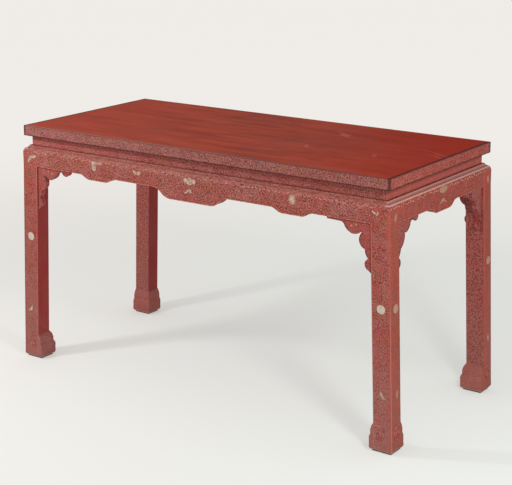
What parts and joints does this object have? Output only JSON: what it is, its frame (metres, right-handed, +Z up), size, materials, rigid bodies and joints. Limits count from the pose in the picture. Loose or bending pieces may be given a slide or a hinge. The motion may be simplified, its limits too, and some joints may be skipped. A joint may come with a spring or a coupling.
{
  "type": "waisted lacquer table",
  "caption": "Long waisted table in red lacquer with shaped aprons, scrolled corner brackets, hoof feet and mother-of-pearl inlay.",
  "frame": {"origin": "on the floor under the middle of the table", "axes": "+Z up, +X along the table's length, +Y from the front to the back"},
  "size_m": [1.5236, 0.6736, 0.85],
  "materials": {
    "lacquer_top": "satin lacquer, brick red, plain",
    "lacquer_rim": "satin lacquer, red, finely figured on the edge",
    "lacquer_sides": "satin lacquer, red, finely figured",
    "lacquer_brackets": "satin lacquer, red",
    "lacquer_underside": "matt lacquer, dark red",
    "bare_wood": "planed",
    "dark_wood": "matt lacquer, worn",
    "shell": "polished mother-of-pearl"
  },
  "bodies": {
    "root": {"top_panel": "lacquer_top", "top_left_rail": "lacquer_rim", "top_right_rail": "lacquer_rim", "top_front_rail": "lacquer_rim", "top_back_rail": "lacquer_rim", "waist_front": "lacquer_sides", "waist_back": "lacquer_sides", "waist_right": "lacquer_sides", "waist_left": "lacquer_sides", "apron_back": "lacquer_sides", "apron_front": "lacquer_sides", "apron_left": "lacquer_sides", "apron_right": "lacquer_sides", "leg_front_right": "lacquer_sides", "leg_front_left": "lacquer_sides", "leg_back_right": "lacquer_sides", "leg_back_left": "lacquer_sides", "bracket_front_left": "lacquer_brackets", "bracket_front_right": "lacquer_brackets", "bracket_back_left": "lacquer_brackets", "bracket_back_right": "lacquer_brackets", "bracket_right_front": "lacquer_brackets", "bracket_right_back": "lacquer_brackets", "bracket_left_front": "lacquer_brackets", "bracket_left_back": "lacquer_brackets", "top_batten_left": "lacquer_underside", "top_batten_middle": "lacquer_underside", "top_batten_right": "lacquer_underside", "apron_keys": "bare_wood", "bracket_pegs": "bare_wood", "foot_pads": "dark_wood", "shell_inlays_front": "shell", "shell_inlays_back": "shell", "shell_inlays_right": "shell", "shell_inlays_left": "shell"}
  },
  "joints": []
}
